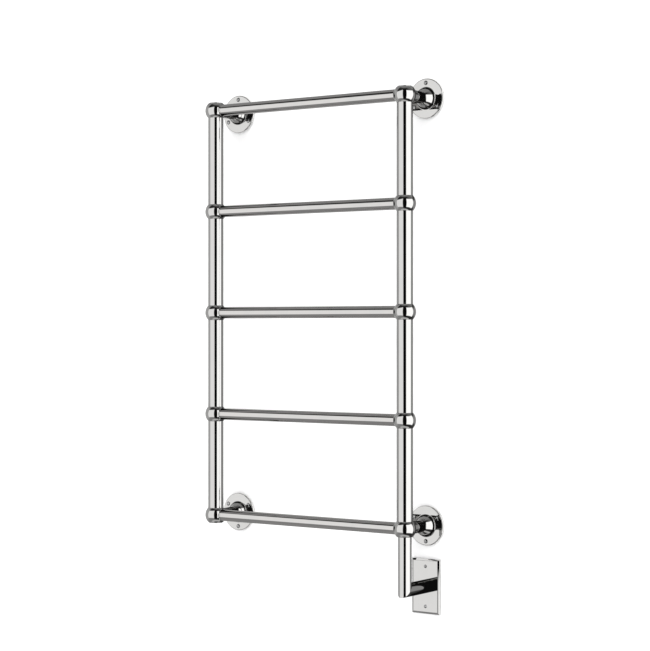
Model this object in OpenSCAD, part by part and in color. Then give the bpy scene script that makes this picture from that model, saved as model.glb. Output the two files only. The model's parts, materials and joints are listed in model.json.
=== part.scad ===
// Ball-jointed towel warmer rack, hard wired, for a bathroom wall.
// The wall is the plane y = 0 and the rack stands in front of it, towards -Y.
// x = 0 is midway between the posts and z = 0 is the axis of the middle rail.

/* [Rack] */
// Distance between the axes of the two posts
post_spacing = 495; // [400:5:700]
// Vertical distance from one rail axis to the next
rail_pitch = 222; // [190:1:260]
// Distance from the wall to the axes of the posts and rails
wall_distance = 85; // [80:1:120]

/* [Tubes] */
// Outside diameter of the post tubes
post_d = 33.5; // [33:0.5:36]
// Outside diameter of the rails and of the bracket arms
rail_d = 25; // [22:0.5:27]
// Outside diameter of the wiring conduit
conduit_d = 28; // [27:0.5:30]
// Wall thickness of the post tubes and of the conduit
tube_wall = 1.5; // [1:0.1:1.8]

/* [Balls] */
// Diameter of the ball fittings
ball_d = 46; // [45:0.5:50]
// Diameter of the threaded mouths at the top and bottom of a ball
mouth_d = 26; // [24:0.5:26]
// Height of an end cap's edge above the flat of its ball
cap_rise = 1.7; // [1:0.1:3]

/* [Brackets] */
// Diameter of a wall flange
flange_d = 84; // [84:1:100]
// Thickness of a wall flange
flange_t = 5; // [4:0.5:7]
// Diameter of the circle through the three screws of a flange
screw_circle_d = 65; // [62:1:68]
// Length of a wall screw behind the wall's face
screw_length = 38; // [25:1:50]

/* [Cover plate] */
// Width of the cover plate
plate_w = 67; // [60:1:75]
// Height of the cover plate
plate_h = 114.3; // [110:0.1:125]
// Depth of the cover plate in front of the wall, with its gasket
plate_t = 6.5; // [5:0.5:9]
// Distance between the two cover plate screws
plate_screw_spacing = 83.3; // [80:0.1:90]
// Height of the conduit's wall entry below the bottom rail
entry_drop = 126; // [120:1:160]

/* [Element] */
// Diameter of the heating element
element_d = 16; // [12:0.5:16]
// Height that the heating element reaches above the bottom rail
element_reach = 700; // [200:10:740]

/* [Hidden] */
$fn = 96;
rail_count = 5;
rails = [1 : rail_count];
segments = [1 : rail_count - 1];
sides = ["left", "right"];
levels = ["top", "bottom"];
bracket_pieces = ["arm", "wall_flange", "wall_screws"];

rail_wall = 1.2;
post_r = post_d / 2;
rail_r = rail_d / 2;
ball_r = ball_d / 2;
mouth_r = mouth_d / 2;
conduit_r = conduit_d / 2;
conduit_bore_r = conduit_r - tube_wall;
post_bore_r = post_r - tube_wall;
rail_bore_r = rail_r - rail_wall;
element_r = element_d / 2;
clearance = 0.05;
// How far a countersink is cut past the face it opens in
overcut = 0.2;

// A ball is cut flat where its section has the diameter of the post.
ball_cut = sqrt(ball_r ^ 2 - post_r ^ 2);
// Seal seat round each mouth
seat_r = mouth_r + 1.5;
seat_depth = 1.5;
seal_section_r = 0.7;

// Socket that takes the end of a rail, measured from the centre of the ball
socket_floor = mouth_r + 1;
rail_seal_t = 2;
rail_seal_gap = 0.3;
rail_end = socket_floor + rail_seal_t;
rail_passage_r = 8;
// Hollow neck by which the surface of a ball runs out into a rail or an arm
neck_r = rail_r + 0.3;
neck_fillet_r = 3.5;
neck_end = sqrt((ball_r + neck_fillet_r) ^ 2 - (neck_r + neck_fillet_r) ^ 2);
neck_foot_r = (neck_r + neck_fillet_r) * ball_r / (ball_r + neck_fillet_r);

// Button of an end cap
cap_r = post_r - 1.5;
cap_edge_r = 0.8;
cap_crown = 0.7;

// Threaded part of connectors, caps and element head
thread_length = 8;
connector_plug_length = 14;
connector_bore_r = 9.5;

// The arm runs from a blind socket in the ball to one in the hub of the flange.
arm_socket_floor = mouth_r + 2;
arm_wall = 3;
// The hub is a tall dome round an arc that is centred past its axis and behind the disc's
// face, with a hollow foot. Its side leans in by this angle where it is hub_r wide.
hub_r = ball_r - 0.5;
hub_lean = 10;
hub_arc_r = 30.5;
hub_arc_x = hub_r - hub_arc_r * cos(hub_lean);
hub_arc_z = -3.8;
hub_fillet_r = 2;
hub_socket_y = 1.5;
flange_round = 2.5;

screw_count = 3;
screw_head_r = 4.7;
screw_neck_r = 2.7;
screw_hole_r = 3;
screw_thread_r = 2.3;
screw_head_rise = 2;
screw_tip = 5;
plate_screw_head_r = 3.6;
plate_screw_head_rise = 0.9;
plate_screw_neck_r = 1.9;
plate_screw_hole_r = 2.1;
plate_screw_thread_r = 1.7;
plate_screw_length = 18;
slot_width = 1;
slot_depth = 0.4;
screw_point_r = 0.4;

gasket_t = 0.8;
plate_skin = 2;
plate_rim = 2.5;
// Bevel round the front of the cover plate, across the plate and into its depth
plate_bevel_w = 4.2;
plate_bevel_t = 1.85;
plate_boss_r = 6;
plate_collar_wall = 3;

entry_z = rail_z(rail_count) - entry_drop;
head_spigot_length = 14;
head_washer_t = 0.5;
terminal_drop = 6;
grommet_t = 8;

lead_r = 1.4;
lead_bend = 14;
lead_side = 4.5;
earth_offset = 10;
cutout_r = 3;
cutout_length = 15;
// Depth of the thermal cut-out's top below the end of the heating element
cutout_drop = 12;
element_end_z = rail_z(rail_count) - ball_cut - head_spigot_length - terminal_drop;

function side_sign(side) = side == "left" ? -1 : 1;
function side_x(side) = side_sign(side) * post_spacing / 2;
function rail_z(i) = ((rail_count + 1) / 2 - i) * rail_pitch;
function level_rail(level) = level == "top" ? 1 : rail_count;
function level_sign(level) = level == "top" ? 1 : -1;
function is_end(i) = i == 1 || i == rail_count;

// Moves children from the origin to the centre of one ball.
module at_ball(side, i) {
    translate([side_x(side), -wall_distance, rail_z(i)])
        children();
}

// Stands children on the upper (way 1) or lower (way -1) flat of a ball, pointing outwards.
module at_mouth(side, i, way) {
    at_ball(side, i)
        rotate([way > 0 ? 0 : 180, 0, 0])
            translate([0, 0, ball_cut])
                children();
}

// Turns children that point along +Z so that they point out of the wall, along -Y.
module out_of_wall() {
    rotate([90, 0, 0])
        children();
}

// Turns children that point along +Z so that they point from a post to the other one.
module towards_other_post(side) {
    rotate([0, -side_sign(side) * 90, 0])
        children();
}

// A straight tube along +Z from the origin.
module tube(outer_r, inner_r, length) {
    difference() {
        cylinder(r = outer_r, h = length);
        translate([0, 0, -1])
            cylinder(r = inner_r, h = length + 2);
    }
}

// A round ring of round section that lies on z = 0.
module o_ring(inner_r, section_r) {
    rotate_extrude()
        translate([inner_r + section_r, section_r])
            circle(r = section_r, $fn = 24);
}

// Cuts the threaded bore, its seal seat and the flat of one mouth of a ball.
module mouth_cut() {
    translate([0, 0, ball_cut])
        cylinder(r = ball_r, h = ball_r);
    translate([0, 0, ball_cut - seat_depth])
        cylinder(r = seat_r, h = seat_depth + 1);
}

// Half section of a neck, upwards from the centre of its ball.
module neck_profile() {
    difference() {
        square([neck_foot_r, neck_end]);
        translate([neck_r + neck_fillet_r, neck_end])
            circle(r = neck_fillet_r);
    }
}

// Cuts the socket of a rail and the passage from it to the bore.
module rail_socket() {
    translate([0, 0, socket_floor])
        cylinder(r = rail_r, h = ball_r);
    cylinder(r = rail_passage_r, h = ball_r);
}

// Turns children that point along +Z so that they point to the wall.
module into_wall() {
    rotate([-90, 0, 0])
        children();
}

// Half section of a ball with its neck for the rail upwards.
module ball_profile() {
    intersection() {
        circle(r = ball_r);
        translate([0, -ball_r])
            square([ball_r, ball_d]);
    }
    neck_profile();
}

module ball(side, i) {
    color("gainsboro")
        at_ball(side, i)
            difference() {
                union() {
                    towards_other_post(side)
                        rotate_extrude()
                            ball_profile();
                    if (is_end(i))
                        into_wall()
                            rotate_extrude()
                                neck_profile();
                }
                cylinder(r = mouth_r, h = ball_d, center = true);
                mouth_cut();
                mirror([0, 0, 1])
                    mouth_cut();
                towards_other_post(side)
                    rail_socket();
                if (is_end(i))
                    into_wall()
                        translate([0, 0, arm_socket_floor])
                            cylinder(r = rail_r, h = ball_r);
            }
}

module post_tube(side, i) {
    color("silver")
        translate([side_x(side), -wall_distance, rail_z(i + 1) + ball_cut])
            tube(post_r, post_bore_r, rail_pitch - 2 * ball_cut);
}

module rail(i) {
    length = post_spacing - 2 * rail_end;
    color("silver")
        translate([-length / 2, -wall_distance, rail_z(i)])
            rotate([0, 90, 0])
                tube(rail_r, rail_bore_r, length);
}

// Half section of the button of an end cap: a softly rounded edge and a low crown.
module cap_profile() {
    flat_r = cap_r - cap_edge_r;
    crown_r = (flat_r ^ 2 + cap_crown ^ 2) / (2 * cap_crown);
    intersection() {
        union() {
            square([flat_r, cap_rise + cap_crown]);
            square([cap_r, cap_rise - cap_edge_r]);
            translate([flat_r, cap_rise - cap_edge_r])
                circle(r = cap_edge_r);
        }
        translate([0, cap_rise + cap_crown - crown_r])
            circle(r = crown_r, $fn = 720);
    }
}

// End cap: a screw plug with a button on top.
module end_cap(side, i, way) {
    color("gainsboro")
        at_mouth(side, i, way) {
            translate([0, 0, -thread_length])
                cylinder(r = mouth_r, h = thread_length + cap_rise / 2);
            rotate_extrude()
                cap_profile();
        }
}

// Connector: a threaded nipple in the ball and a plug that holds the tube.
module connector() {
    difference() {
        union() {
            translate([0, 0, -thread_length])
                cylinder(r = mouth_r, h = thread_length);
            cylinder(r = post_bore_r, h = connector_plug_length);
        }
        translate([0, 0, -thread_length - 1])
            cylinder(r = connector_bore_r, h = thread_length + connector_plug_length + 2);
    }
}

module post_connectors(side) {
    color("goldenrod")
        for (i = segments) {
            at_mouth(side, i, -1)
                connector();
            at_mouth(side, i + 1, 1)
                connector();
        }
}

// One O-ring in every mouth, except the lower right one, which has a flat washer.
module ball_seals(side) {
    color("dimgray")
        for (i = rails, way = [1, -1])
            if (!(side == "right" && i == rail_count && way < 0))
                at_mouth(side, i, way)
                    translate([0, 0, -seat_depth])
                        o_ring(mouth_r + clearance, seal_section_r);
}

module rail_seals() {
    color("dimgray")
        for (side = sides, i = rails)
            at_ball(side, i)
                towards_other_post(side)
                    translate([0, 0, socket_floor])
                        tube(rail_r - rail_seal_gap, rail_passage_r, rail_seal_t);
}

module arm(side, level) {
    from_ball = wall_distance - arm_socket_floor;
    color("silver")
        translate([side_x(side), -hub_socket_y, rail_z(level_rail(level))])
            out_of_wall()
                tube(rail_r, rail_r - arm_wall, from_ball - hub_socket_y);
}

// Countersunk hole from the front of a plate whose face is at z = face.
module countersunk_hole(hole_r, head_r, face) {
    depth = head_r - hole_r;
    translate([0, 0, -1])
        cylinder(r = hole_r, h = face + 2);
    translate([0, 0, face - depth])
        cylinder(r1 = hole_r, r2 = head_r + overcut, h = depth + overcut);
}

// Repeats children on the screw circle of a flange; the first screw points up or down.
module on_screw_circle(level) {
    for (k = [0 : screw_count - 1])
        rotate([0, 0, level_sign(level) * 90 + k * 360 / screw_count])
            translate([screw_circle_d / 2, 0, 0])
                rotate([0, 0, -level_sign(level) * 90 - k * 360 / screw_count])
                    children();
}

// Wall flange: a disc with a rounded edge and a hub with a socket for the arm.
module wall_flange(side, level) {
    edge = flange_d / 2;
    color("gainsboro")
        translate([side_x(side), 0, rail_z(level_rail(level))])
            out_of_wall()
                difference() {
                    union() {
                        rotate_extrude()
                            flange_profile(edge);
                        translate([0, 0, flange_t])
                            rotate_extrude()
                                hub_profile();
                    }
                    translate([0, 0, hub_socket_y])
                        cylinder(r = rail_r, h = wall_distance);
                    on_screw_circle(level)
                        countersunk_hole(screw_hole_r, screw_head_r, flange_t);
                }
}

// Half section of the disc, with a quarter-round front edge.
module flange_profile(edge) {
    square([edge - flange_round, flange_t]);
    square([edge, flange_t - flange_round]);
    intersection() {
        translate([edge - flange_round, flange_t - flange_round])
            circle(r = flange_round);
        square([edge, flange_t]);
    }
}

// Half section of the hub, from inside its socket outwards; it stands a little in the disc.
module hub_profile() {
    inner = rail_r - 1;
    reach = hub_arc_r + hub_fillet_r;
    drop = hub_fillet_r - hub_arc_z;
    fillet_x = hub_arc_x + sqrt(reach ^ 2 - drop ^ 2);
    fillet_top = hub_arc_z + drop * hub_arc_r / reach;
    intersection() {
        translate([hub_arc_x, hub_arc_z])
            circle(r = hub_arc_r, $fn = 192);
        translate([inner, -1])
            square([hub_r, hub_arc_r]);
    }
    difference() {
        translate([inner, -1])
            square([fillet_x - inner, fillet_top + 1]);
        translate([fillet_x, hub_fillet_r])
            circle(r = hub_fillet_r);
    }
}

// A screw along -Z from its countersunk seat at z = face, with a slotted, slightly raised head.
module oval_screw(head_r, neck_r, thread_r, face, length, rise) {
    crown_r = (head_r ^ 2 + rise ^ 2) / (2 * rise);
    seat = head_r - neck_r;
    difference() {
        union() {
            translate([0, 0, face - seat])
                cylinder(r1 = neck_r, r2 = head_r, h = seat);
            intersection() {
                translate([0, 0, face + rise - crown_r])
                    sphere(r = crown_r);
                translate([0, 0, face])
                    cylinder(r = head_r, h = rise + 1);
            }
            cylinder(r = neck_r, h = face - seat);
            translate([0, 0, -length + screw_tip])
                cylinder(r = thread_r, h = length - screw_tip);
            translate([0, 0, -length])
                cylinder(r1 = screw_point_r, r2 = thread_r, h = screw_tip);
        }
        translate([-head_r - 1, -slot_width / 2, face - slot_depth])
            cube([2 * head_r + 2, slot_width, rise + 2]);
    }
}

module wall_screws(side, level) {
    color("lightgray")
        translate([side_x(side), 0, rail_z(level_rail(level))])
            out_of_wall()
                on_screw_circle(level)
                    oval_screw(screw_head_r, screw_neck_r, screw_thread_r, flange_t,
                        screw_length, screw_head_rise);
}

// Half of the mitred conduit elbow: a leg along +Z whose lower end is cut at 45 degrees,
// leaning towards +Y. The origin is the corner of the centre lines.
module mitred_leg(outer_r, inner_r, length) {
    reach = 4 * outer_r;
    difference() {
        translate([0, 0, -outer_r - 1])
            tube(outer_r, inner_r, length + outer_r + 1);
        rotate([45, 0, 0])
            translate([0, 0, -reach / 2])
                cube([reach, reach * 1.5, reach], center = true);
    }
}

module conduit() {
    top_z = rail_z(rail_count) - ball_cut;
    color("silver")
        translate([side_x("right"), -wall_distance, entry_z]) {
            mitred_leg(conduit_r, conduit_bore_r, top_z - entry_z);
            mirror([0, 1, -1])
                mitred_leg(conduit_r, conduit_bore_r, wall_distance);
        }
}

// Block of the cover plate's size with a bevelled front.
module plate_body(depth) {
    intersection() {
        translate([-plate_w / 2, -plate_h / 2, 0])
            cube([plate_w, plate_h, depth]);
        rotate([90, 0, 0])
            linear_extrude(height = plate_h + 2, center = true)
                plate_outline(plate_w, depth);
        rotate([90, 0, 90])
            linear_extrude(height = plate_w + 2, center = true)
                plate_outline(plate_h, depth);
    }
}

module plate_outline(width, depth) {
    half = width / 2;
    flat = half - plate_bevel_w;
    shoulder = depth - plate_bevel_t;
    polygon([[-half, -1], [half, -1], [half, shoulder], [flat, depth], [-flat, depth],
        [-half, shoulder]]);
}

module on_plate_screws() {
    for (way = [-1, 1])
        translate([0, way * plate_screw_spacing / 2, 0])
            children();
}

module at_plate() {
    translate([side_x("right"), 0, entry_z])
        out_of_wall()
            children();
}

// Formed cover plate: a hollow shell with bosses for the screws and a collar for the conduit.
module cover_plate() {
    depth = plate_t - gasket_t;
    color("gainsboro")
        at_plate()
            translate([0, 0, gasket_t])
                difference() {
                    union() {
                        difference() {
                            plate_body(depth);
                            translate([0, 0, -1])
                                cube([plate_w - 2 * plate_rim, plate_h - 2 * plate_rim,
                                    2 * (depth - plate_skin + 1)], center = true);
                        }
                        on_plate_screws()
                            cylinder(r = plate_boss_r, h = depth - plate_skin / 2);
                        cylinder(r = conduit_r + plate_collar_wall, h = depth - plate_skin / 2);
                    }
                    on_plate_screws()
                        countersunk_hole(plate_screw_hole_r, plate_screw_head_r, depth);
                    translate([0, 0, -1])
                        cylinder(r = conduit_r + clearance, h = depth + 2);
                }
}

module cover_plate_screws() {
    color("lightgray")
        at_plate()
            on_plate_screws()
                rotate([0, 0, 90])
                    oval_screw(plate_screw_head_r, plate_screw_neck_r, plate_screw_thread_r,
                        plate_t, plate_screw_length, plate_screw_head_rise);
}

module cover_plate_gasket() {
    color("darkslategray")
        at_plate()
            difference() {
                translate([-plate_w / 2, -plate_h / 2, 0])
                    cube([plate_w, plate_h, gasket_t]);
                translate([0, 0, -1])
                    linear_extrude(height = gasket_t + 2)
                        square([plate_w - 2 * plate_rim, plate_h - 2 * plate_rim],
                            center = true);
            }
}

// Moves children to the lower mouth of the bottom right ball, with +Z up.
module at_element() {
    translate([side_x("right"), -wall_distance, rail_z(rail_count) - ball_cut])
        children();
}

// Brass head: thread and shoulder in the ball, spigot in the conduit, bore for the element.
module element_head() {
    shoulder = seat_depth - head_washer_t;
    color("goldenrod")
        at_element()
            difference() {
                union() {
                    cylinder(r = mouth_r, h = thread_length);
                    cylinder(r = seat_r - clearance, h = shoulder);
                    translate([0, 0, -head_spigot_length])
                        cylinder(r = conduit_bore_r, h = head_spigot_length + shoulder / 2);
                }
                translate([0, 0, -head_spigot_length - 1])
                    cylinder(r = element_r, h = head_spigot_length + thread_length + 2);
            }
}

module element_washer() {
    color("firebrick")
        at_element()
            translate([0, 0, seat_depth - head_washer_t])
                tube(seat_r - clearance, mouth_r, head_washer_t);
}

// Sheathed cartridge with a round top and two terminal pins at its lower end.
module heating_element() {
    bottom = -head_spigot_length - terminal_drop;
    top = ball_cut + element_reach;
    color("slategray")
        at_element() {
            translate([0, 0, bottom])
                cylinder(r = element_r, h = top - bottom - element_r);
            translate([0, 0, top - element_r])
                intersection() {
                    sphere(r = element_r);
                    translate([0, 0, -1])
                        cylinder(r = element_r + 1, h = element_r + 2);
                }
        }
}

// A lead from z = start down the conduit, round its elbow and out to the wall.
// "out" is how far it runs outside the conduit's centre line.
module lead(out, start) {
    bend_r = lead_bend + out;
    corner_y = -wall_distance + lead_bend;
    corner_z = entry_z + lead_bend;
    translate([0, corner_y - bend_r, corner_z])
        cylinder(r = lead_r, h = start - corner_z, $fn = 32);
    translate([0, corner_y, corner_z])
        rotate([0, 90, 0])
            rotate([0, 0, -90])
                rotate_extrude(angle = 90)
                    translate([bend_r, 0])
                        circle(r = lead_r, $fn = 32);
    translate([0, corner_y, corner_z - bend_r])
        rotate([-90, 0, 0])
            cylinder(r = lead_r, h = -corner_y, $fn = 32);
}

// The live lead is interrupted by the thermal cut-out.
module live_lead() {
    below = element_end_z - cutout_drop - cutout_length;
    color("saddlebrown")
        translate([side_x("right") - lead_side, 0, 0]) {
            lead(0, below);
            translate([0, -wall_distance, element_end_z - cutout_drop])
                cylinder(r = lead_r, h = cutout_drop, $fn = 32);
        }
}

module neutral_lead() {
    color("steelblue")
        translate([side_x("right") + lead_side, 0, 0])
            lead(0, element_end_z);
}

module earth_lead() {
    color("yellowgreen")
        translate([side_x("right"), 0, 0])
            lead(earth_offset, element_end_z + terminal_drop);
}

module thermal_cutout() {
    color("ivory")
        translate([side_x("right") - lead_side, -wall_distance,
            element_end_z - cutout_drop - cutout_length])
            cylinder(r = cutout_r, h = cutout_length);
}

// Rubber bush in the wall end of the conduit, with a hole for each lead.
module wall_grommet() {
    color("black")
        translate([side_x("right"), 0, entry_z])
            out_of_wall()
                difference() {
                    cylinder(r = conduit_bore_r - clearance, h = grommet_t);
                    for (place = [[-lead_side, 0], [lead_side, 0], [0, -earth_offset]])
                        translate([place[0], place[1], -1])
                            cylinder(r = lead_r + clearance, h = grommet_t + 2);
                }
}

for (side = sides, i = segments)
    post_tube(side, i);
for (i = rails)
    rail(i);
for (side = sides, i = rails)
    ball(side, i);
end_cap("left", 1, 1);  // top_left_cap
end_cap("right", 1, 1);  // top_right_cap
end_cap("left", rail_count, -1);  // bottom_left_cap
for (side = sides) {
    post_connectors(side);
    ball_seals(side);
}
rail_seals();
for (level = levels, side = sides) {
    arm(side, level);
    wall_flange(side, level);
    wall_screws(side, level);
}
conduit();
cover_plate();
cover_plate_screws();
cover_plate_gasket();
element_head();
element_washer();
heating_element();
thermal_cutout();
live_lead();
neutral_lead();
earth_lead();
wall_grommet();
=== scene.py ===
"""Ball-jointed chrome towel warmer, in front of a pale wall. Metres, in the frame of the CAD model."""

import json
import math

import bmesh
import bpy
from mathutils import Matrix, Vector


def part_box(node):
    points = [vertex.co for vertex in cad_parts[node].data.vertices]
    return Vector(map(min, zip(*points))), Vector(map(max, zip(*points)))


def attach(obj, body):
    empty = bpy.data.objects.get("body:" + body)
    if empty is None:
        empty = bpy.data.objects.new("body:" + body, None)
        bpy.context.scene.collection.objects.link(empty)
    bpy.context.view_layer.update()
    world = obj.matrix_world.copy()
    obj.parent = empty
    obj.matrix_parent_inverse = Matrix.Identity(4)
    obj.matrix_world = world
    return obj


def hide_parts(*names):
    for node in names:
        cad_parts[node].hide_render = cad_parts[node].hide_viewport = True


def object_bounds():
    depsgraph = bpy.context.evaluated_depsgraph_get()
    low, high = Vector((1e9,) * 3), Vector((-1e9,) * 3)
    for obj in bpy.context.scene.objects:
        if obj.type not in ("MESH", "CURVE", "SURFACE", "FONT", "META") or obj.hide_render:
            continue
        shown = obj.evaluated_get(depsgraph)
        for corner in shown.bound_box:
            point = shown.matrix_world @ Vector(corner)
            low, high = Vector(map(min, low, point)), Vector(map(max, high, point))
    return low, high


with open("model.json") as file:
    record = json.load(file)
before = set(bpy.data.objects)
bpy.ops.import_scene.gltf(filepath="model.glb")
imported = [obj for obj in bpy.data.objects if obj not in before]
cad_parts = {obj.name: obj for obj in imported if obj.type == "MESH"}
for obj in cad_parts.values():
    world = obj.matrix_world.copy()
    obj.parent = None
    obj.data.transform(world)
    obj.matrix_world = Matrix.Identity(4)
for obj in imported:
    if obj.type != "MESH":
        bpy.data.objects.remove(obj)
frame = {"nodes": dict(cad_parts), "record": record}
cad_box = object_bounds()
MM = 0.001
BODY = "root"
SIDES = ("left", "right")
LEVELS = ("top", "bottom")
RAILS = range(1, 6)


# --- places, read from the CAD boxes ---------------------------------------------------


def middle(node):
    low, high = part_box(node)
    return (low + high) / 2


def extent(node):
    low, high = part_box(node)
    return high - low


POST_X = {side: middle(f"{side}_post_tube_1").x for side in SIDES}
RAIL_Z = {i: middle(f"rail_{i}").z for i in RAILS}
AXIS_Y = middle("rail_1").y
POST_R = extent("left_post_tube_1").x / 2
RAIL_R = extent("rail_1").z / 2
CONDUIT_R = extent("conduit").x / 2
TUBE_WALL = 1.5 * MM
BALL_R = 23 * MM
BALL_CUT = math.sqrt(BALL_R**2 - POST_R**2)
NECK_FILLET = 3.5 * MM
NECK_R = RAIL_R + 0.3 * MM
FLANGE_T = 5 * MM
FLANGE_R = 42 * MM
FLANGE_ROUND = 2.5 * MM
HUB_R = 22.5 * MM
HUB_LEAN = math.radians(10)
HUB_ARC_R = 30.5 * MM
HUB_ARC_DROP = 3.8 * MM
HUB_FILLET = 2 * MM
SCREW_CIRCLE_R = 32.5 * MM
PLATE_BEVEL_WIDTH = 4.2 * MM
PLATE_BEVEL_DEPTH = 1.85 * MM
PLATE_SCREW_SPACING = 83.3 * MM
# Play between a fitting's lip and the tube in it, and how far a cutter stands out of its piece
PLAY = 0.06 * MM
OVER = 1 * MM
LEVEL_RAIL = {"top": 1, "bottom": 5}
LEVEL_SIGN = {"top": 1, "bottom": -1}


# --- profiles and lathed solids --------------------------------------------------------


def rounded(corners):
    """Turns (radius, height, fillet) corners into a line with an arc at each filleted one."""
    steps = 5
    line = []
    for k, (r, h, fillet) in enumerate(corners):
        here = Vector((r, h))
        if fillet == 0 or k in (0, len(corners) - 1):
            line.append(here)
            continue
        a = (Vector(corners[k - 1][:2]) - here).normalized()
        b = (Vector(corners[k + 1][:2]) - here).normalized()
        half = a.angle(b) / 2
        reach = fillet / math.tan(half)
        centre = here + (a + b).normalized() * fillet / math.sin(half)
        start = here + a * reach - centre
        turn = start.angle_signed(here + b * reach - centre)
        line.append(here + a * (reach + fillet * 0.5))
        for s in range(steps + 1):
            line.append(centre + Matrix.Rotation(-turn * s / steps, 2) @ start)
        line.append(here + b * (reach + fillet * 0.5))
    return line


def arc(centre, radius, start, end, steps):
    """Points (radius, height) on a circle round (0, centre), by angle from the axis in degrees."""
    points = []
    for s in range(steps + 1):
        a = math.radians(start + (end - start) * s / steps)
        points.append(Vector((radius * math.sin(a), centre + radius * math.cos(a))))
    return points


def spin(bm, line, place, segments):
    """Adds the solid that a line makes when it turns round the local Z axis."""
    rings = []
    for point in line:
        r, h = point
        if r < 1e-7:
            rings.append([bm.verts.new(place @ Vector((0, 0, h)))])
            continue
        ring = []
        for s in range(segments):
            a = 2 * math.pi * s / segments
            ring.append(bm.verts.new(place @ Vector((r * math.cos(a), r * math.sin(a), h))))
        rings.append(ring)
    for low, high in zip(rings, rings[1:]):
        for s in range(segments):
            t = (s + 1) % segments
            if len(low) == 1:
                bm.faces.new((low[0], high[t], high[s]))
            elif len(high) == 1:
                bm.faces.new((low[s], low[t], high[0]))
            else:
                bm.faces.new((low[s], low[t], high[t], high[s]))


def shade(mesh, angle=28):
    """Smooth shading, broken where two faces meet at more than the angle."""
    bm = bmesh.new()
    bm.from_mesh(mesh)
    bmesh.ops.recalc_face_normals(bm, faces=bm.faces)
    for face in bm.faces:
        face.smooth = True
    limit = math.radians(angle)
    for edge in bm.edges:
        if len(edge.link_faces) == 2:
            edge.smooth = edge.calc_face_angle() < limit
    bm.to_mesh(mesh)
    bm.free()


def make_object(name, bm):
    mesh = bpy.data.meshes.new(name)
    bm.to_mesh(mesh)
    bm.free()
    obj = bpy.data.objects.new(name, mesh)
    bpy.context.scene.collection.objects.link(obj)
    return obj


def lathed(name, solids, segments):
    """One object from (line, place) solids of revolution."""
    bm = bmesh.new()
    for line, place in solids:
        spin(bm, line, place, segments)
    bmesh.ops.recalc_face_normals(bm, faces=bm.faces)
    return make_object(name, bm)


def combine(obj, other, operation):
    """Applies a boolean with another object, which is then removed."""
    modifier = obj.modifiers.new("boolean", "BOOLEAN")
    modifier.operation = operation
    modifier.solver = "EXACT"
    modifier.object = other
    graph = bpy.context.evaluated_depsgraph_get()
    mesh = bpy.data.meshes.new_from_object(obj.evaluated_get(graph))
    obj.modifiers.clear()
    old = obj.data
    obj.data = mesh
    bpy.data.meshes.remove(old)
    bpy.data.objects.remove(other)
    return obj


def weigh_normals(obj):
    modifier = obj.modifiers.new("normals", "WEIGHTED_NORMAL")
    modifier.keep_sharp = True
    modifier.weight = 80
    return obj


def at(x, y, z):
    return Matrix.Translation((x, y, z))


OUT_OF_WALL = Matrix.Rotation(math.radians(90), 4, "X")
ALONG_X = Matrix.Rotation(math.radians(90), 4, "Y")
DOWN = Matrix.Rotation(math.radians(180), 4, "X")


# --- materials -------------------------------------------------------------------------


class Net:
    """Short names for building a node tree."""

    def __init__(self, tree):
        self.tree = tree
        tree.nodes.clear()

    def add(self, kind, **settings):
        node = self.tree.nodes.new(kind)
        for key, value in settings.items():
            setattr(node, key, value)
        return node

    def link(self, source, target):
        if isinstance(source, bpy.types.NodeSocket):
            self.tree.links.new(source, target)
        else:
            target.default_value = source

    def math(self, operation, a, b=0.0):
        node = self.add("ShaderNodeMath", operation=operation)
        self.link(a, node.inputs[0])
        self.link(b, node.inputs[1])
        return node.outputs[0]

    def dot(self, vector, axis):
        node = self.add("ShaderNodeVectorMath", operation="DOT_PRODUCT")
        self.link(vector, node.inputs[0])
        node.inputs[1].default_value = axis
        return node.outputs["Value"]

    def ramp(self, value, low, high, to_low=0.0, to_high=1.0):
        node = self.add("ShaderNodeMapRange")
        node.interpolation_type = "SMOOTHSTEP"
        self.link(value, node.inputs["Value"])
        for key, v in (("From Min", low), ("From Max", high), ("To Min", to_low), ("To Max", to_high)):
            self.link(v, node.inputs[key])
        return node.outputs["Result"]

    def mix(self, share, a, b):
        node = self.add("ShaderNodeMix", data_type="FLOAT")
        for value, key in ((share, 0), (a, 2), (b, 3)):
            self.link(value, node.inputs[key])
        return node.outputs[0]

    def mix_colour(self, share, a, b):
        node = self.add("ShaderNodeMix", data_type="RGBA")
        for value, key in ((share, 0), (a, 6), (b, 7)):
            self.link(value, node.inputs[key])
        return node.outputs[2]

    def noise(self, vector, scale, detail, roughness):
        node = self.add("ShaderNodeTexNoise")
        node.inputs["Scale"].default_value = scale
        node.inputs["Detail"].default_value = detail
        node.inputs["Roughness"].default_value = roughness
        self.link(vector, node.inputs["Vector"])
        return node.outputs["Fac"]

    def stretched(self, factors):
        """Object coordinates, scaled by axis."""
        place = self.add("ShaderNodeTexCoord").outputs["Object"]
        node = self.add("ShaderNodeVectorMath", operation="MULTIPLY")
        self.link(place, node.inputs[0])
        node.inputs[1].default_value = factors
        return node.outputs["Vector"]


def rgba(colour):
    return (*colour, 1.0)


def surface(name, colour, roughness, metallic=0.0):
    """A new material: its net and its Principled shader."""
    material = bpy.data.materials.new(name)
    material.use_nodes = True
    net = Net(material.node_tree)
    shader = net.add("ShaderNodeBsdfPrincipled")
    shader.inputs["Base Color"].default_value = rgba(colour)
    shader.inputs["Roughness"].default_value = roughness
    shader.inputs["Metallic"].default_value = metallic
    out = net.add("ShaderNodeOutputMaterial")
    net.link(shader.outputs["BSDF"], out.inputs["Surface"])
    return material, net, shader


def bump(net, shader, height, distance):
    node = net.add("ShaderNodeBump")
    node.inputs["Distance"].default_value = distance
    net.link(height, node.inputs["Height"])
    net.link(node.outputs["Normal"], shader.inputs["Normal"])


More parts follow.
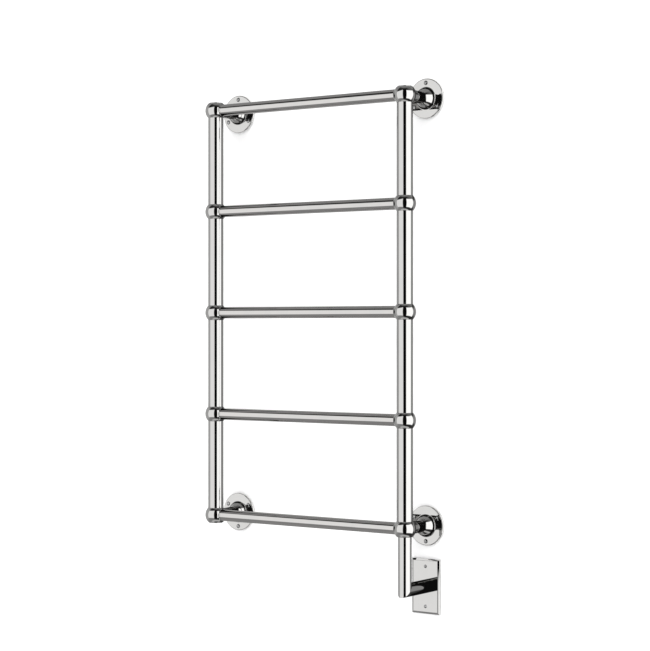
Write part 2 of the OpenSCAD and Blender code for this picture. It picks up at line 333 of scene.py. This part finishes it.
def chrome(name, bright, dull, grain):
    """Polished chrome plate: faint polishing grain along an axis, slow waviness, a little haze."""
    material, net, shader = surface(name, bright, 0.04, 1.0)
    place = net.stretched((1, 1, 1))
    haze = net.noise(place, 14, 4, 0.6)
    lines = net.noise(net.stretched(grain), 1, 2, 0.5)
    net.link(
        net.mix_colour(net.ramp(haze, 0.35, 0.7), rgba(bright), rgba(dull)),
        shader.inputs["Base Color"],
    )
    fine = net.math("MULTIPLY", net.ramp(lines, 0.3, 0.7), 0.015)
    broad = net.math("MULTIPLY", net.ramp(haze, 0.3, 0.75), 0.02)
    net.link(net.math("ADD", net.math("ADD", fine, broad), 0.015), shader.inputs["Roughness"])
    bump(net, shader, net.noise(place, 30, 2, 0.4), WAVE_HEIGHT)
    return material


WAVE_HEIGHT = 0.0008 * MM
BRIGHT = (0.90, 0.893, 0.877)
DULL = (0.875, 0.868, 0.852)
WARM = (0.912, 0.89, 0.872)
MATERIALS = {
    "post_chrome": chrome("post_chrome", BRIGHT, DULL, (900, 900, 6)),
    "rail_chrome": chrome("rail_chrome", WARM, DULL, (6, 900, 900)),
    "fitting_chrome": chrome("fitting_chrome", BRIGHT, DULL, (60, 60, 700)),
    "bracket_chrome": chrome("bracket_chrome", BRIGHT, DULL, (300, 40, 300)),
    "conduit_chrome": chrome("conduit_chrome", BRIGHT, DULL, (500, 500, 8)),
    "plate_chrome": chrome("plate_chrome", BRIGHT, DULL, (700, 300, 12)),
    "screw_chrome": chrome("screw_chrome", (0.84, 0.84, 0.84), (0.7, 0.7, 0.7), (400, 400, 400)),
}


def speckled(name, colour, other, scale, rough, rough_other, depth, metallic=0.0):
    """A plain body colour with a second tone, uneven roughness and a fine bump."""
    material, net, shader = surface(name, colour, rough, metallic)
    place = net.stretched((1, 1, 1))
    tone = net.noise(place, scale, 5, 0.6)
    net.link(
        net.mix_colour(net.ramp(tone, 0.35, 0.7), rgba(colour), rgba(other)),
        shader.inputs["Base Color"],
    )
    net.link(net.ramp(tone, 0.3, 0.7, rough, rough_other), shader.inputs["Roughness"])
    bump(net, shader, net.noise(place, scale * 6, 3, 0.5), depth)
    MATERIALS[name] = material
    return net, shader


speckled("brass", (0.78, 0.57, 0.26), (0.62, 0.42, 0.17), 180, 0.22, 0.4, 0.00001, 1.0)
speckled("element_steel", (0.52, 0.5, 0.48), (0.4, 0.38, 0.36), 120, 0.28, 0.42, 0.00001, 1.0)
speckled("seal_rubber", (0.03, 0.03, 0.03), (0.05, 0.05, 0.05), 300, 0.5, 0.65, 0.00002)
speckled("gasket_foam", (0.07, 0.07, 0.075), (0.13, 0.13, 0.135), 900, 0.85, 0.95, 0.00012)
speckled("grommet_rubber", (0.025, 0.025, 0.027), (0.045, 0.045, 0.045), 260, 0.45, 0.6, 0.00003)
speckled("washer_fibre", (0.42, 0.09, 0.05), (0.3, 0.06, 0.04), 500, 0.6, 0.75, 0.00003)
speckled("cutout_ceramic", (0.84, 0.81, 0.73), (0.76, 0.72, 0.63), 200, 0.2, 0.35, 0.00001)
speckled("lead_brown", (0.2, 0.08, 0.035), (0.15, 0.06, 0.03), 160, 0.32, 0.45, 0.00001)
speckled("lead_blue", (0.04, 0.14, 0.5), (0.03, 0.11, 0.4), 160, 0.32, 0.45, 0.00001)


def earth_material():
    """Green insulation with a yellow stripe along it."""
    net, shader = speckled(
        "lead_green_yellow", (0.12, 0.4, 0.07), (0.1, 0.33, 0.06), 160, 0.32, 0.45, 0.00001
    )
    across = net.dot(net.add("ShaderNodeTexCoord").outputs["Object"], (1, 0, 0))
    side = net.math("SUBTRACT", across, middle("earth_lead").x)
    stripe = net.ramp(side, 0, 0.00008)
    net.link(
        net.mix_colour(stripe, rgba((0.12, 0.4, 0.07)), rgba((0.85, 0.7, 0.04))),
        shader.inputs["Base Color"],
    )


earth_material()
SLOT_OF = {s["node"]: s["material_slot"] for s in frame["record"]["subparts"]}
for name, obj in frame["nodes"].items():
    obj.data.materials.clear()
    obj.data.materials.append(MATERIALS[SLOT_OF[name]])


def place_piece(obj, node, angle=28):
    """Gives a finished piece its material, and puts it in the place of its CAD node."""
    shade(obj.data, angle)
    obj.data.materials.clear()
    obj.data.materials.append(MATERIALS[SLOT_OF[node]])
    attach(obj, BODY)
    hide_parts(node)
    return obj


# --- tubes -----------------------------------------------------------------------------


def tube_line(radius, length):
    """A tube's outside, closed at its ends, with soft edges."""
    fillet = 0.25 * MM
    return rounded([(0, 0, 0), (radius, 0, fillet), (radius, length, fillet), (0, length, 0)])


def post_tube(side, i):
    node = f"{side}_post_tube_{i}"
    low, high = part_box(node)
    line = tube_line(POST_R, high.z - low.z)
    obj = lathed(node + "_skin", [(line, at(POST_X[side], AXIS_Y, low.z))], 128)
    place_piece(obj, node)


def rail(i):
    node = f"rail_{i}"
    low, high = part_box(node)
    line = tube_line(RAIL_R, high.x - low.x)
    obj = lathed(node + "_skin", [(line, at(low.x, AXIS_Y, RAIL_Z[i]) @ ALONG_X)], 112)
    place_piece(obj, node)


def arm(level, side):
    node = f"{level}_{side}_arm"
    low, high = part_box(node)
    line = tube_line(RAIL_R, high.y - low.y)
    z = RAIL_Z[LEVEL_RAIL[level]]
    obj = lathed(node + "_skin", [(line, at(POST_X[side], high.y, z) @ OUT_OF_WALL)], 112)
    place_piece(obj, node)


# --- balls and caps --------------------------------------------------------------------


def neck_line():
    """The hollow neck that runs from the surface of a ball out to a rail, with its lip."""
    out = NECK_R + NECK_FILLET
    end = math.sqrt((BALL_R + NECK_FILLET) ** 2 - out**2)
    start = math.atan2(-end, -out) + 2 * math.pi
    line = []
    for s in range(13):
        a = start + (math.pi - start) * s / 12
        line.append(Vector((out + NECK_FILLET * math.cos(a), end + NECK_FILLET * math.sin(a))))
    lip = RAIL_R + PLAY
    floor = end - 3 * MM
    return line + [Vector((lip, end)), Vector((lip, floor)), Vector((0, floor))]


def ball(side, i):
    """A ball turned round the rail's axis, with a neck at the rail and two flats."""
    neck = neck_line()
    foot = math.degrees(math.atan2(neck[0].x, neck[0].y))
    node = f"{side}_ball_{i}"
    centre = Vector((POST_X[side], AXIS_Y, RAIL_Z[i]))
    turn = Matrix.Rotation(math.radians(90 if side == "left" else -90), 4, "Y")
    bm = bmesh.new()
    spin(bm, arc(0, BALL_R, 180, foot, 90) + neck[1:], Matrix.Translation(centre) @ turn, 144)
    if i in (1, 5):
        spin(bm, [Vector((0, 0))] + neck, Matrix.Translation(centre) @ OUT_OF_WALL.inverted(), 112)
    for way in (1, -1):
        flat = Vector((0, 0, way * BALL_CUT))
        cut = bmesh.ops.bisect_plane(
            bm,
            geom=bm.verts[:] + bm.edges[:] + bm.faces[:],
            plane_co=centre + flat,
            plane_no=(0, 0, way),
            clear_outer=True,
        )
        edges = [e for e in cut["geom_cut"] if isinstance(e, bmesh.types.BMEdge)]
        bmesh.ops.holes_fill(bm, edges=edges)
    bmesh.ops.recalc_face_normals(bm, faces=bm.faces)
    place_piece(make_object(node + "_skin", bm), node)


def cap(node, side, i, way):
    """The button of an end cap: soft edge, low crown, on the flat of its ball."""
    low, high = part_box(node)
    radius = (high.x - low.x) / 2
    rise = (high.z if way > 0 else -low.z) - (way * RAIL_Z[i] + BALL_CUT)
    crown = 0.7 * MM
    dome_r = (radius**2 + crown**2) / (2 * crown)
    edge = rise - crown
    shoulder = 0.3 * edge
    soft = edge - shoulder
    line = [Vector((0, -OVER)), Vector((radius - 1 * MM, -OVER)), Vector((radius, -0.4 * MM))]
    line += [Vector((radius, 0.8 * shoulder)), Vector((radius, shoulder))]
    for s in range(1, 8):
        a = math.radians(90 * s / 8)
        line.append(Vector((radius - soft * (1 - math.cos(a)), shoulder + soft * math.sin(a))))
    inner = radius - soft
    for s in range(13):
        r = inner * (1 - s / 12)
        line.append(Vector((r, rise - dome_r + math.sqrt(dome_r**2 - r**2))))
    place = at(POST_X[side], AXIS_Y, RAIL_Z[i] + way * BALL_CUT)
    if way < 0:
        place = place @ DOWN
    place_piece(lathed(node + "_skin", [(line, place)], 96), node)


# --- wall brackets ---------------------------------------------------------------------


def screw_places(level, side):
    """Where the three screws of a flange stand, one of them straight above or below its middle."""
    middle_z = RAIL_Z[LEVEL_RAIL[level]]
    for k in range(3):
        a = math.radians(90 * LEVEL_SIGN[level] + 120 * k)
        x, z = SCREW_CIRCLE_R * math.cos(a), SCREW_CIRCLE_R * math.sin(a)
        yield at(POST_X[side] + x, 0, middle_z + z) @ OUT_OF_WALL


def countersunk(hole_r, head_r, bottom, seat, face):
    """Half section of a cutter for a countersunk hole, from below its bottom to above its face."""
    corners = [(0, bottom - OVER), (hole_r, bottom - OVER), (hole_r, seat), (head_r, face)]
    corners += [(head_r, face + OVER), (0, face + OVER)]
    return [Vector(corner) for corner in corners]


def flange(level, side):
    """Disc with a rounded edge and a tall domed hub, countersunk for three screws."""
    node = f"{level}_{side}_wall_flange"
    line = [Vector((0, 0)), Vector((FLANGE_R - 0.5 * MM, 0)), Vector((FLANGE_R, 0.4 * MM))]
    line.append(Vector((FLANGE_R, FLANGE_T - FLANGE_ROUND - 0.3 * MM)))
    for s in range(13):
        a = math.radians(90 * s / 12)
        drop = FLANGE_ROUND * (1 - math.sin(a))
        line.append(Vector((FLANGE_R - FLANGE_ROUND * (1 - math.cos(a)), FLANGE_T - drop)))
    hub_centre = Vector((HUB_R - HUB_ARC_R * math.cos(HUB_LEAN), FLANGE_T - HUB_ARC_DROP))
    reach = HUB_ARC_R + HUB_FILLET
    lean = math.asin((HUB_FILLET + HUB_ARC_DROP) / reach)
    foot_r = hub_centre.x + reach * math.cos(lean)
    lip = RAIL_R + PLAY
    top = math.acos((lip - hub_centre.x) / HUB_ARC_R)
    line.append(Vector((FLANGE_R - FLANGE_ROUND - 0.3 * MM, FLANGE_T)))
    line.append(Vector((foot_r + 0.4 * MM, FLANGE_T)))
    for s in range(13):
        a = -math.pi / 2 - (math.pi / 2 - lean) * s / 12
        rise = HUB_FILLET * (1 + math.sin(a))
        line.append(Vector((foot_r + HUB_FILLET * math.cos(a), FLANGE_T + rise)))
    for s in range(1, 49):
        a = lean + (top - lean) * s / 48
        line.append(hub_centre + HUB_ARC_R * Vector((math.cos(a), math.sin(a))))
    socket = FLANGE_T + 10 * MM
    line += [Vector((lip, socket)), Vector((0, socket))]
    place = at(POST_X[side], 0, RAIL_Z[LEVEL_RAIL[level]]) @ OUT_OF_WALL
    obj = lathed(node + "_skin", [(line, place)], 144)
    hole = countersunk(3 * MM, 4.8 * MM, 0, FLANGE_T - 1.75 * MM, FLANGE_T + 0.05 * MM)
    cutters = [(hole, spot) for spot in screw_places(level, side)]
    combine(obj, lathed("cutter", cutters, 48), "DIFFERENCE")
    place_piece(weigh_normals(obj), node)


def thread(bm, place, core_r, crest_r, pitch, start, end):
    """A helical thread along -Z from start to end, as a wavy tube that is closed at both ends."""
    segments = 28
    steps = 8
    rows = int(round((end - start) / pitch * steps))
    rings = []
    for row in range(rows + 1):
        h = start + (end - start) * row / rows
        fade = min(1, row / steps, (rows - row) / (2 * steps))
        tip = min(1.0, (end - h) / (5 * MM) + 0.12)
        ring = []
        for s in range(segments):
            phase = (h / pitch - s / segments) % 1
            ridge = max(0, 1 - abs(phase - 0.5) / 0.28) * fade
            r = (core_r + (crest_r - core_r) * ridge) * tip
            a = 2 * math.pi * s / segments
            ring.append(bm.verts.new(place @ Vector((r * math.cos(a), r * math.sin(a), -h))))
        rings.append(ring)
    for low, high in zip(rings, rings[1:]):
        for s in range(segments):
            t = (s + 1) % segments
            bm.faces.new((low[s], high[s], high[t], low[t]))
    bm.faces.new(rings[0])
    bm.faces.new(list(reversed(rings[-1])))


def slotted_screw(bm_target, place, head_r, neck_r, core_r, crest_r, pitch, face, length, rise):
    """A raised countersunk head with a slot, a plain neck and a threaded shank."""
    crown_r = (head_r**2 + rise**2) / (2 * rise)
    seat = head_r - neck_r
    lean = math.degrees(math.asin(head_r / crown_r))
    line = [Vector((0, -0.2 * MM)), Vector((neck_r, -0.2 * MM)), Vector((neck_r, face - seat))]
    line += [Vector((head_r - 0.12 * MM, face - 0.12 * MM)), Vector((head_r, face + 0.03 * MM))]
    line += arc(face + rise - crown_r, crown_r, lean - 2, 0, 12)
    head = lathed("head", [(line, Matrix.Identity(4))], 64)
    bm = bmesh.new()
    bmesh.ops.create_cube(bm, size=1)
    bmesh.ops.scale(bm, verts=bm.verts, vec=(3 * head_r, 1.1 * MM, 2 * (rise + 0.5 * MM)))
    bmesh.ops.translate(bm, verts=bm.verts, vec=(0, 0, face + rise))
    combine(head, make_object("slot_cutter", bm), "DIFFERENCE")
    head.data.transform(place)
    bm_target.from_mesh(head.data)
    mesh = head.data
    bpy.data.objects.remove(head)
    bpy.data.meshes.remove(mesh)
    thread(bm_target, place, core_r, crest_r, pitch, 0.1 * MM, length)


def wall_screws(level, side):
    node = f"{level}_{side}_wall_screws"
    low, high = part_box(node)
    bm = bmesh.new()
    for place in screw_places(level, side):
        slotted_screw(
            bm,
            place,
            head_r=4.7 * MM,
            neck_r=2.7 * MM,
            core_r=1.6 * MM,
            crest_r=2.3 * MM,
            pitch=2 * MM,
            face=FLANGE_T,
            length=high.y,
            rise=-low.y - FLANGE_T,
        )
    place_piece(weigh_normals(make_object(node + "_skin", bm)), node)


# --- conduit and cover plate -----------------------------------------------------------


def conduit():
    """A tube that turns back to the wall at a mitre, softened on its outside."""
    node = "conduit"
    low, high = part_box(node)
    x = POST_X["right"]
    entry_z = low.z + CONDUIT_R
    segments = 128
    bm = bmesh.new()
    skins = []
    for r in (CONDUIT_R, CONDUIT_R - TUBE_WALL):
        rings = []
        for stage in ("top", "mitre", "wall"):
            ring = []
            for s in range(segments):
                a = 2 * math.pi * s / segments
                u, v = r * math.cos(a), r * math.sin(a)
                if stage == "top":
                    spot = (x + u, AXIS_Y + v, high.z)
                elif stage == "mitre":
                    spot = (x + u, AXIS_Y + v, entry_z + v)
                else:
                    spot = (x + u, high.y, entry_z + v)
                ring.append(bm.verts.new(spot))
            rings.append(ring)
        skins.append(rings)
        for a_ring, b_ring in zip(rings, rings[1:]):
            for s in range(segments):
                t = (s + 1) % segments
                bm.faces.new((a_ring[s], a_ring[t], b_ring[t], b_ring[s]))
    outer, inner = skins
    for end in (0, 2):
        for s in range(segments):
            t = (s + 1) % segments
            bm.faces.new((outer[end][s], outer[end][t], inner[end][t], inner[end][s]))
    bmesh.ops.recalc_face_normals(bm, faces=bm.faces)
    mitre = outer[1]
    edges = [bm.edges.get((mitre[s], mitre[(s + 1) % segments])) for s in range(segments)]
    bmesh.ops.bevel(bm, geom=edges, offset=0.5 * MM, segments=4, affect="EDGES", profile=0.5)
    place_piece(weigh_normals(make_object(node + "_skin", bm)), node, 20)


def box_mesh(bm, low, high):
    made = bmesh.ops.create_cube(bm, size=1)
    size = Vector(high) - Vector(low)
    bmesh.ops.scale(bm, verts=made["verts"], vec=size)
    bmesh.ops.translate(bm, verts=made["verts"], vec=(Vector(low) + Vector(high)) / 2)
    return made["verts"]


def cover_plate():
    """A formed plate with a bevelled front, hollow behind, with bosses and a collar."""
    node = "cover_plate"
    low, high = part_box(node)
    bm = bmesh.new()
    rings = []
    for y, inset in ((high.y, 0), (low.y + PLATE_BEVEL_DEPTH, 0), (low.y, PLATE_BEVEL_WIDTH)):
        rings.append(
            [
                bm.verts.new((low.x + inset, y, low.z + inset)),
                bm.verts.new((high.x - inset, y, low.z + inset)),
                bm.verts.new((high.x - inset, y, high.z - inset)),
                bm.verts.new((low.x + inset, y, high.z - inset)),
            ]
        )
    for a_ring, b_ring in zip(rings, rings[1:]):
        for s in range(4):
            t = (s + 1) % 4
            bm.faces.new((a_ring[s], a_ring[t], b_ring[t], b_ring[s]))
    bm.faces.new(rings[0])
    bm.faces.new(rings[-1])
    bmesh.ops.recalc_face_normals(bm, faces=bm.faces)
    corners = [bm.edges.get((a, b)) for a, b in zip(rings[0], rings[1])]
    bmesh.ops.bevel(bm, geom=corners, offset=0.3 * MM, segments=3, affect="EDGES", profile=0.5)
    obj = make_object(node + "_skin", bm)
    rim, skin = 2.5 * MM, 2 * MM
    bm = bmesh.new()
    box_mesh(
        bm,
        (low.x + rim, low.y + skin, low.z + rim),
        (high.x - rim, high.y + 5 * MM, high.z - rim),
    )
    combine(obj, make_object("recess", bm), "DIFFERENCE")
    front = -low.y
    back = -high.y
    place = at(POST_X["right"], 0, (low.z + high.z) / 2) @ OUT_OF_WALL

    def disc(radius, bottom, top):
        return [Vector((0, bottom)), Vector((radius, bottom)), Vector((radius, top)), Vector((0, top))]

    inner_face = front - skin / 2
    lifts = [(disc(CONDUIT_R + 3 * MM, back, inner_face), place)]
    lifts += [(disc(6 * MM, back, inner_face), spot) for spot in plate_screw_places()]
    combine(obj, lathed("lifts", lifts, 64), "UNION")
    holes = [(disc(CONDUIT_R + 2 * PLAY, back - OVER, front + OVER), place)]
    hole = countersunk(2.1 * MM, 3.7 * MM, back, front - 1.6 * MM, front)
    holes += [(hole, spot) for spot in plate_screw_places()]
    combine(obj, lathed("holes", holes, 96), "DIFFERENCE")
    place_piece(weigh_normals(obj), node, 20)


def plate_screw_places():
    """Where the lower and the upper screw of the cover plate stand."""
    centre = middle("cover_plate")
    for way in (-1, 1):
        yield at(centre.x, 0, centre.z + way * PLATE_SCREW_SPACING / 2) @ OUT_OF_WALL


def cover_plate_screws():
    node = "cover_plate_screws"
    low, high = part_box(node)
    front = -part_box("cover_plate")[0].y
    bm = bmesh.new()
    for place in plate_screw_places():
        slotted_screw(
            bm,
            place @ Matrix.Rotation(math.radians(90), 4, "Z"),
            head_r=3.6 * MM,
            neck_r=1.9 * MM,
            core_r=1.35 * MM,
            crest_r=1.7 * MM,
            pitch=0.8 * MM,
            face=front,
            length=high.y,
            rise=-low.y - front,
        )
    place_piece(weigh_normals(make_object(node + "_skin", bm)), node)


for side in SIDES:
    for i in range(1, 5):
        post_tube(side, i)
    for i in RAILS:
        ball(side, i)
    for level in LEVELS:
        arm(level, side)
        flange(level, side)
        wall_screws(level, side)
for i in RAILS:
    rail(i)
cap("top_left_cap", "left", 1, 1)
cap("top_right_cap", "right", 1, 1)
cap("bottom_left_cap", "left", 5, -1)
conduit()
cover_plate()
cover_plate_screws()


# --- stage, light and camera -----------------------------------------------------------

VIEW_AZIMUTH = math.radians(35.446)
TO_CAMERA = Vector((math.sin(VIEW_AZIMUTH), -math.cos(VIEW_AZIMUTH), 0))
TO_RIGHT = Vector((math.cos(VIEW_AZIMUTH), math.sin(VIEW_AZIMUTH), 0))


def seen_as(value):
    """Linear light that shows as an 8-bit level, seen in the chrome."""
    v = value / 255
    linear = v / 12.92 if v <= 0.04045 else ((v + 0.055) / 1.055) ** 2.4
    return linear / 0.89


def sheet(name, corners, material):
    bm = bmesh.new()
    bm.faces.new([bm.verts.new(c) for c in corners])
    obj = make_object(name, bm)
    obj.data.materials.append(material)
    obj.visible_glossy = False
    return obj


def wall_material():
    """Matt white paint on the front; nothing on the back, so that the rack shows from behind.

    In the chrome the paint shows only where it is close, so that the studio lights the rest, and
    it doesn't show in the faces that lie flat on it, which are seen from behind.
    """
    material = bpy.data.materials.new("wall_paint")
    material.use_nodes = True
    net = Net(material.node_tree)
    paint = net.add("ShaderNodeBsdfDiffuse")
    paint.inputs["Color"].default_value = (0.93, 0.93, 0.93, 1)
    clear = net.add("ShaderNodeBsdfTransparent")
    back = net.add("ShaderNodeNewGeometry").outputs["Backfacing"]
    path = net.add("ShaderNodeLightPath")
    far = net.math("GREATER_THAN", path.outputs["Ray Length"], 0.03)
    touching = net.math("LESS_THAN", path.outputs["Ray Length"], 0.0015)
    unseen = net.math("MULTIPLY", path.outputs["Is Glossy Ray"], net.math("MAXIMUM", far, touching))
    blend = net.add("ShaderNodeMixShader")
    net.link(net.math("MAXIMUM", back, unseen), blend.inputs[0])
    net.link(paint.outputs[0], blend.inputs[1])
    net.link(clear.outputs[0], blend.inputs[2])
    net.link(blend.outputs[0], net.add("ShaderNodeOutputMaterial").inputs["Surface"])
    return material


def floor_material():
    material = bpy.data.materials.new("floor_paint")
    material.use_nodes = True
    net = Net(material.node_tree)
    paint = net.add("ShaderNodeBsdfDiffuse")
    paint.inputs["Color"].default_value = (0.9, 0.9, 0.9, 1)
    net.link(paint.outputs[0], net.add("ShaderNodeOutputMaterial").inputs["Surface"])
    return material


FLOOR_Z = cad_box[0].z - 0.55
wall = sheet(
    "wall",
    [(-1.7, 0.0003, FLOOR_Z), (1.7, 0.0003, FLOOR_Z), (1.7, 0.0003, 1.6), (-1.7, 0.0003, 1.6)],
    wall_material(),
)
wall.visible_shadow = False
wall.visible_glossy = True
floor = sheet(
    "floor", [(-8, -8, FLOOR_Z), (8, -8, FLOOR_Z), (8, 8, FLOOR_Z), (-8, 8, FLOOR_Z)], floor_material()
)


def panels(net, way):
    """Light by direction: two large soft panels, the dark gap between them, ceiling, floor, back."""
    turn = net.math("ARCTAN2", net.dot(way, TO_RIGHT), net.dot(way, TO_CAMERA))
    turn = net.math("MULTIPLY", turn, 180 / math.pi)
    rise = net.math("MULTIPLY", net.math("ARCSINE", net.dot(way, (0, 0, 1))), 180 / math.pi)
    height = net.math("ABSOLUTE", rise)

    def between(value, low, high, soft):
        up = net.ramp(value, low - soft, low + soft)
        down = net.ramp(value, high - soft, high + soft, 1.0, 0.0)
        return net.math("MULTIPLY", up, down)

    def under(limit):
        """1 where rise is below a limit that may itself be a socket."""
        return net.ramp(net.math("SUBTRACT", rise, limit), -3, 3, 1.0, 0.0)

    def slope(start, step):
        return net.math("ADD", net.math("MULTIPLY", turn, step), start)

    front = between(turn, -92, 96, 6)
    left_back = net.mix(net.ramp(height, 25, 42), seen_as(155), seen_as(124))
    right_back = net.mix(net.ramp(height, 14, 26), seen_as(128), seen_as(55))
    right_back = net.mix(net.ramp(rise, 34, 42), right_back, seen_as(118))
    behind = net.mix(net.ramp(turn, -10, 10), left_back, right_back)
    low_tone = net.mix(net.ramp(turn, -30, 10), seen_as(120), seen_as(40))
    edge_tone = net.mix(net.ramp(turn, 20, 70), seen_as(35), seen_as(95))
    ceiling = net.mix(net.ramp(rise, 56, 76), edge_tone, seen_as(120))
    floor_tone = net.mix(net.ramp(rise, -62, -54), seen_as(172), low_tone)
    floor_tone = net.mix(net.ramp(rise, -78, -68), seen_as(95), floor_tone)
    ambient = net.mix(net.ramp(rise, -5, 5), floor_tone, ceiling)
    light = net.mix(front, behind, ambient)

    gap = net.math("MULTIPLY", between(turn, -20.5, 18.5, 2.5), between(rise, -47, 50, 3))
    left = net.math("MULTIPLY", under(slope(51.2, 0.26)), between(turn, -91, -20.5, 2.5))
    left = net.math("MULTIPLY", left, net.math("SUBTRACT", 1.0, under(slope(-39.2, -0.12))))
    right = net.math("MULTIPLY", under(slope(43.7, -0.115)), between(turn, 18.5, 92, 2.5))
    right = net.math("MULTIPLY", right, net.math("SUBTRACT", 1.0, under(slope(-36.5, 0.03))))
    light = net.mix(gap, light, seen_as(6))
    light = net.mix(left, light, seen_as(217))
    light = net.mix(right, light, seen_as(253))
    # Chrome seen in chrome shows the dark side of the room.
    again = net.math("GREATER_THAN", net.add("ShaderNodeLightPath").outputs["Glossy Depth"], 1.5)
    near_side = between(turn, -128, 128, 8)
    return net.mix(again, light, net.mix(near_side, behind, seen_as(14)))


def studio_dome():
    """A room-sized shell that only reflections see."""
    centre = (cad_box[0] + cad_box[1]) / 2
    bm = bmesh.new()
    bmesh.ops.create_uvsphere(bm, u_segments=96, v_segments=48, radius=4.2)
    bmesh.ops.translate(bm, verts=bm.verts, vec=centre)
    dome = make_object("studio_dome", bm)
    material = bpy.data.materials.new("studio_panels")
    material.use_nodes = True
    material.cycles.emission_sampling = "NONE"
    net = Net(material.node_tree)
    offset = net.add("ShaderNodeVectorMath", operation="SUBTRACT")
    net.link(net.add("ShaderNodeNewGeometry").outputs["Position"], offset.inputs[0])
    offset.inputs[1].default_value = centre
    way = net.add("ShaderNodeVectorMath", operation="NORMALIZE")
    net.link(offset.outputs["Vector"], way.inputs[0])
    shader = net.add("ShaderNodeEmission")
    net.link(panels(net, way.outputs["Vector"]), shader.inputs["Strength"])
    net.link(shader.outputs[0], net.add("ShaderNodeOutputMaterial").inputs["Surface"])
    dome.data.materials.append(material)
    dome.visible_camera = False
    dome.visible_diffuse = False
    dome.visible_shadow = False
    dome.visible_transmission = False


def room_light():
    """Even white light on the wall and the floor."""
    world = bpy.data.worlds.new("studio")
    bpy.context.scene.world = world
    world.use_nodes = True
    world.cycles.sampling_method = "NONE"
    net = Net(world.node_tree)
    shader = net.add("ShaderNodeBackground")
    shader.inputs["Color"].default_value = (1, 1, 1, 1)
    shader.inputs["Strength"].default_value = 1.1
    net.link(shader.outputs[0], net.add("ShaderNodeOutputWorld").inputs["Surface"])


studio_dome()
room_light()
lamp = bpy.data.lights.new("top_light", "SUN")
lamp.energy = 1.7
lamp.angle = math.radians(60)
key = bpy.data.objects.new("top_light", lamp)
key.rotation_euler = Vector((0.12, -0.62, 0.78)).to_track_quat("Z", "Y").to_euler()
key.visible_glossy = False
bpy.context.scene.collection.objects.link(key)

view = bpy.data.cameras.new("camera")
view.sensor_width = 36
view.lens = 101.59
camera = bpy.data.objects.new("camera", view)
camera.location = (2.2919, -3.2380, -0.0280)
camera.rotation_mode = "QUATERNION"
camera.rotation_quaternion = (-TO_CAMERA).to_track_quat("-Z", "Y")
bpy.context.scene.collection.objects.link(camera)
bpy.context.scene.camera = camera
bpy.context.scene.view_settings.view_transform = "Standard"
